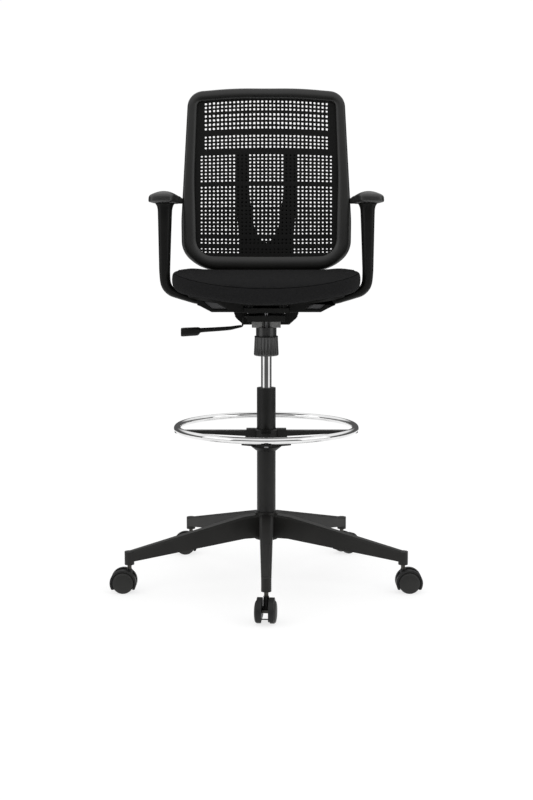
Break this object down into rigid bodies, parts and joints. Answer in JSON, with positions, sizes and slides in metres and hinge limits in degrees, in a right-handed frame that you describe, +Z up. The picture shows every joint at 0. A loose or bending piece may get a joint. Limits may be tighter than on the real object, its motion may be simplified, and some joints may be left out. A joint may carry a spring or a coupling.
{
  "type": "drafting chair",
  "caption": "Tall swivel work chair with an open mesh back, padded seat, fixed armrests, gas lift, sliding chrome foot ring and a star base on twin-wheel casters.",
  "frame": {"origin": "on the floor under the gas column's axis", "axes": "+Z up; the seat faces -Y; +X is on the left of a person sitting in it"},
  "size_m": [0.8142, 0.779, 1.3313],
  "materials": {
    "black_plastic": "fine moulded texture, satin",
    "base_plastic": "glass-filled nylon, satin",
    "caster_plastic": "satin",
    "wheel_plastic": "satin",
    "armpad": "soft polyurethane skin",
    "black_steel": "black powder coat",
    "steel": "plain",
    "zinc": "zinc plated",
    "chrome": "polished chrome",
    "seat_fabric": "fine woven upholstery over foam",
    "back_mesh": "open knitted mesh in bands"
  },
  "bodies": {
    "base": {"base_star": "base_plastic", "caster_sleeves": "black_plastic", "column_tube": "black_steel", "guide_bushing": "black_plastic", "thrust_bearing": "steel"},
    "piston": {"piston_rod": "steel", "retaining_clip": "steel"},
    "lift": {"lift_cylinder": "chrome", "tilt_housing": "black_steel", "mount_block": "zinc", "pivot_pin": "steel", "pivot_covers": "black_plastic", "spring_cup": "black_plastic", "tension_spring": "steel"},
    "valve": {"release_pin": "steel"},
    "tension": {"tension_bolt": "black_steel"},
    "knob": {"tension_knob": "black_plastic"},
    "lever_carrier": {"lever_bushing": "black_plastic"},
    "lever": {"height_lever": "black_steel", "lever_grip": "black_plastic"},
    "seat": {"seat_plate": "black_steel", "seat_cushion": "seat_fabric", "seat_pan": "black_plastic", "seat_bolts": "black_steel", "arm_bracket_right": "black_plastic", "arm_bracket_left": "black_plastic", "arm_right": "black_plastic", "arm_left": "black_plastic", "armpad_right": "armpad", "armpad_left": "armpad", "arm_screws": "black_steel", "back_frame": "black_plastic", "back_mesh": "back_mesh", "back_support": "black_plastic", "back_bracket": "black_steel"},
    "foot_ring": {"foot_ring_tube": "chrome", "foot_ring_hub": "base_plastic", "foot_ring_spokes": "base_plastic", "ring_screws": "black_steel"},
    "collar": {"clamp_collar": "black_plastic"},
    "caster_front": {"caster_front_hood": "caster_plastic", "caster_front_pins": "steel"},
    "wheel_front_a": {"caster_front_wheel_a": "wheel_plastic"},
    "wheel_front_b": {"caster_front_wheel_b": "wheel_plastic"},
    "caster_right": {"caster_right_hood": "caster_plastic", "caster_right_pins": "steel"},
    "wheel_right_a": {"caster_right_wheel_a": "wheel_plastic"},
    "wheel_right_b": {"caster_right_wheel_b": "wheel_plastic"},
    "caster_rear_right": {"caster_rear_right_hood": "caster_plastic", "caster_rear_right_pins": "steel"},
    "wheel_rear_right_a": {"caster_rear_right_wheel_a": "wheel_plastic"},
    "wheel_rear_right_b": {"caster_rear_right_wheel_b": "wheel_plastic"},
    "caster_rear_left": {"caster_rear_left_hood": "caster_plastic", "caster_rear_left_pins": "steel"},
    "wheel_rear_left_a": {"caster_rear_left_wheel_a": "wheel_plastic"},
    "wheel_rear_left_b": {"caster_rear_left_wheel_b": "wheel_plastic"},
    "caster_left": {"caster_left_hood": "caster_plastic", "caster_left_pins": "steel"},
    "wheel_left_a": {"caster_left_wheel_a": "wheel_plastic"},
    "wheel_left_b": {"caster_left_wheel_b": "wheel_plastic"}
  },
  "joints": [
    {"name": "seat_swivel", "type": "hinge", "parent": "base", "child": "piston", "pos_m": [0, 0, 0.13], "axis": [0, 0, 1], "continuous": true},
    {"name": "seat_height", "type": "slide", "parent": "piston", "child": "lift", "axis": [0, 0, 1], "range_m": [-0.15, 0.05]},
    {"name": "seat_tilt", "type": "hinge", "parent": "lift", "child": "seat", "pos_m": [0, 0.022, 0.7145], "axis": [-1, 0, 0], "range_deg": [0, 12], "stiffness_Nm_per_rad": 80, "springref_deg": -22.92},
    {"name": "tension_slide", "type": "slide", "parent": "lift", "child": "tension", "axis": [0, 0, 1], "range_m": [0, 0.0215], "deforming": ["tension_spring"]},
    {"name": "tension_turn", "type": "hinge", "parent": "tension", "child": "knob", "pos_m": [0, -0.08, 0.617], "axis": [0, 0, 1], "range_deg": [-720, 720]},
    {"name": "lever_pull", "type": "slide", "parent": "lift", "child": "lever_carrier", "axis": [-1, 0, 0], "range_m": [0, 0.01]},
    {"name": "lever_lift", "type": "hinge", "parent": "lever_carrier", "child": "lever", "pos_m": [-0.0471, -0.015, 0.715], "axis": [0, 1, 0], "range_deg": [0, 5], "stiffness_Nm_per_rad": 2, "springref_deg": -5.73},
    {"name": "valve_press", "type": "slide", "parent": "lift", "child": "valve", "axis": [0, 0, 1], "range_m": [-0.0042, 0]},
    {"name": "foot_ring_height", "type": "slide", "parent": "base", "child": "foot_ring", "axis": [0, 0, 1], "range_m": [-0.14, 0.03]},
    {"name": "collar_twist", "type": "hinge", "parent": "foot_ring", "child": "collar", "pos_m": [0, 0, 0.36], "axis": [0, 0, 1], "range_deg": [0, 90]},
    {"name": "caster_front_swivel", "type": "hinge", "parent": "base", "child": "caster_front", "pos_m": [0, -0.375, 0.07], "axis": [0, 0, 1], "continuous": true},
    {"name": "wheel_front_a_spin", "type": "hinge", "parent": "caster_front", "child": "wheel_front_a", "pos_m": [-0.00139, -0.39094, 0.028], "axis": [0.9962, -0.0872, 0], "continuous": true},
    {"name": "wheel_front_b_spin", "type": "hinge", "parent": "caster_front", "child": "wheel_front_b", "pos_m": [-0.00139, -0.39094, 0.028], "axis": [0.9962, -0.0872, 0], "continuous": true},
    {"name": "caster_right_swivel", "type": "hinge", "parent": "base", "child": "caster_right", "pos_m": [0.35665, -0.11588, 0.07], "axis": [0, 0, 1], "continuous": true},
    {"name": "wheel_right_a_spin", "type": "hinge", "parent": "caster_right", "child": "wheel_right_a", "pos_m": [0.37265, -0.11588, 0.028], "axis": [0, 1, 0], "continuous": true},
    {"name": "wheel_right_b_spin", "type": "hinge", "parent": "caster_right", "child": "wheel_right_b", "pos_m": [0.37265, -0.11588, 0.028], "axis": [0, 1, 0], "continuous": true},
    {"name": "caster_rear_right_swivel", "type": "hinge", "parent": "base", "child": "caster_rear_right", "pos_m": [0.22042, 0.30338, 0.07], "axis": [0, 0, 1], "continuous": true},
    {"name": "wheel_rear_right_a_spin", "type": "hinge", "parent": "caster_rear_right", "child": "wheel_rear_right_a", "pos_m": [0.23268, 0.31367, 0.028], "axis": [-0.6428, 0.766, 0], "continuous": true},
    {"name": "wheel_rear_right_b_spin", "type": "hinge", "parent": "caster_rear_right", "child": "wheel_rear_right_b", "pos_m": [0.23268, 0.31367, 0.028], "axis": [-0.6428, 0.766, 0], "continuous": true},
    {"name": "caster_rear_left_swivel", "type": "hinge", "parent": "base", "child": "caster_rear_left", "pos_m": [-0.22042, 0.30338, 0.07], "axis": [0, 0, 1], "continuous": true},
    {"name": "wheel_rear_left_a_spin", "type": "hinge", "parent": "caster_rear_left", "child": "wheel_rear_left_a", "pos_m": [-0.23642, 0.30338, 0.028], "axis": [0, -1, 0], "continuous": true},
    {"name": "wheel_rear_left_b_spin", "type": "hinge", "parent": "caster_rear_left", "child": "wheel_rear_left_b", "pos_m": [-0.23642, 0.30338, 0.028], "axis": [0, -1, 0], "continuous": true},
    {"name": "caster_left_swivel", "type": "hinge", "parent": "base", "child": "caster_left", "pos_m": [-0.35665, -0.11588, 0.07], "axis": [0, 0, 1], "continuous": true},
    {"name": "wheel_left_a_spin", "type": "hinge", "parent": "caster_left", "child": "wheel_left_a", "pos_m": [-0.37265, -0.11588, 0.028], "axis": [0, -1, 0], "continuous": true},
    {"name": "wheel_left_b_spin", "type": "hinge", "parent": "caster_left", "child": "wheel_left_b", "pos_m": [-0.37265, -0.11588, 0.028], "axis": [0, -1, 0], "continuous": true}
  ],
  "couplings": [
    {"joint": "tension_slide", "follows": "seat_tilt", "m_per_rad": 0.102},
    {"joint": "valve_press", "follows": "lever_lift", "m_per_rad": -0.0471}
  ]
}
